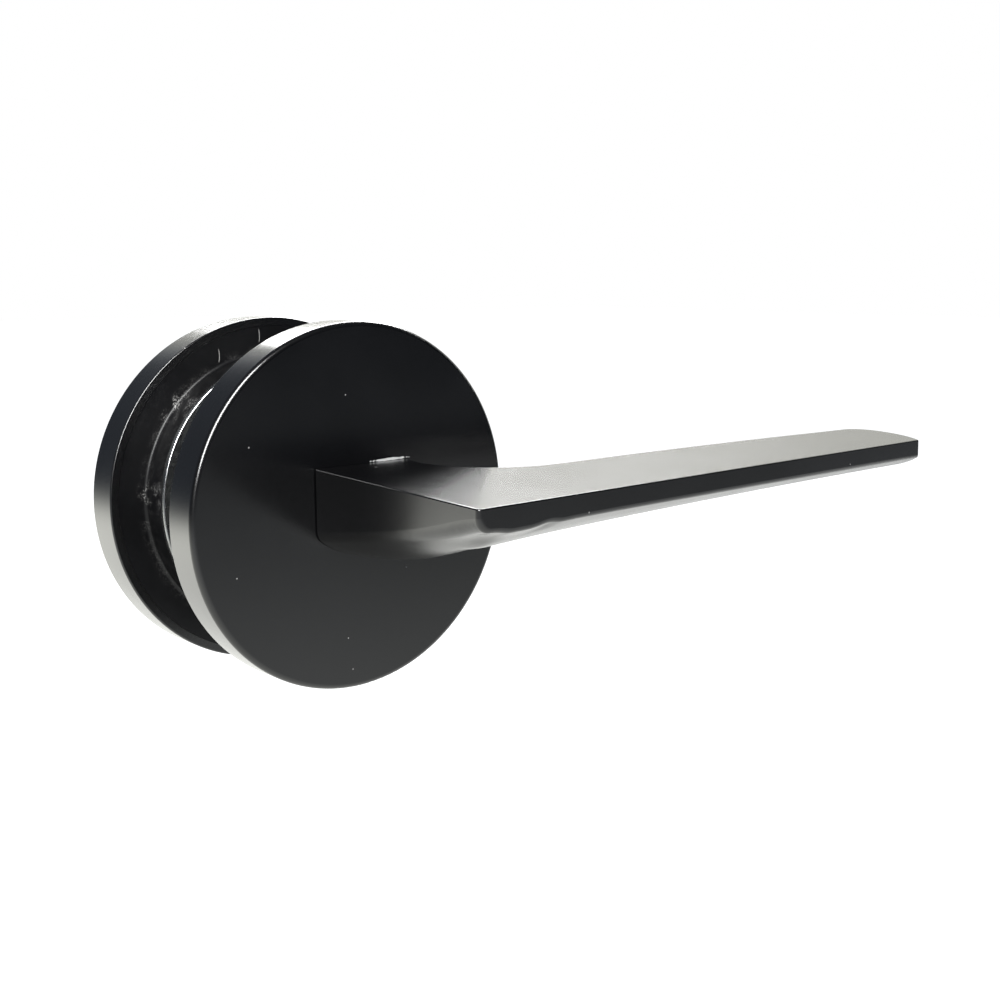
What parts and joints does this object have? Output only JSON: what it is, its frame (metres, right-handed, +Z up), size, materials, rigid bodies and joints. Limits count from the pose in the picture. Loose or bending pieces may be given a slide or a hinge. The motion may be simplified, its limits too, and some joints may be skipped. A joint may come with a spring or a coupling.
{
  "type": "privacy door lever",
  "caption": "Round-rose privacy door lever in satin black: flat-topped tapering lever on a sprung rose, with a second rose and a thumb turn on a common hollow spindle.",
  "frame": {"origin": "on the spindle's axis, midway between the two roses' door faces", "axes": "+X along the lever's blade, +Y along the spindle away from the lever, +Z up"},
  "size_m": [0.151, 0.0933, 0.065],
  "materials": {
    "black_finish": "satin black coat over a metal casting or pressing",
    "black_casting": null,
    "plated_steel": "bright zinc plate",
    "spring_steel": "dark oiled spring steel",
    "nylon": "natural nylon",
    "rubber": "black rubber"
  },
  "bodies": {
    "roses": {"near_rose_cover": "black_finish", "near_base_plate": "black_casting", "near_bush": "nylon", "return_spring": "spring_steel", "near_closing_plate": "plated_steel", "near_plate_screws": "plated_steel", "near_snap_ring": "spring_steel", "bolt_posts": "plated_steel", "far_rose_cover": "black_finish", "far_base_plate": "black_casting", "far_bush": "nylon", "far_closing_plate": "plated_steel", "far_plate_screws": "plated_steel", "far_snap_ring": "spring_steel", "through_bolts": "plated_steel"},
    "lever": {"lever_handle": "black_finish", "lever_circlip": "spring_steel", "spring_cam": "plated_steel", "grub_screw": "spring_steel", "latch_spindle": "plated_steel", "spindle_collar": "nylon"},
    "turn": {"privacy_turn": "black_finish", "turn_circlip": "spring_steel", "turn_friction_ring": "rubber", "privacy_bar": "plated_steel"}
  },
  "joints": [
    {"name": "lever_swing", "type": "hinge", "parent": "roses", "child": "lever", "pos_m": [0, 0, 0], "axis": [0, 1, 0], "range_deg": [0, 50], "stiffness_Nm_per_rad": 0.9, "springref_deg": -28.65, "deforming": ["return_spring"]},
    {"name": "privacy_turning", "type": "hinge", "parent": "roses", "child": "turn", "pos_m": [0, 0.018, 0], "axis": [0, 1, 0], "range_deg": [0, 90]}
  ]
}
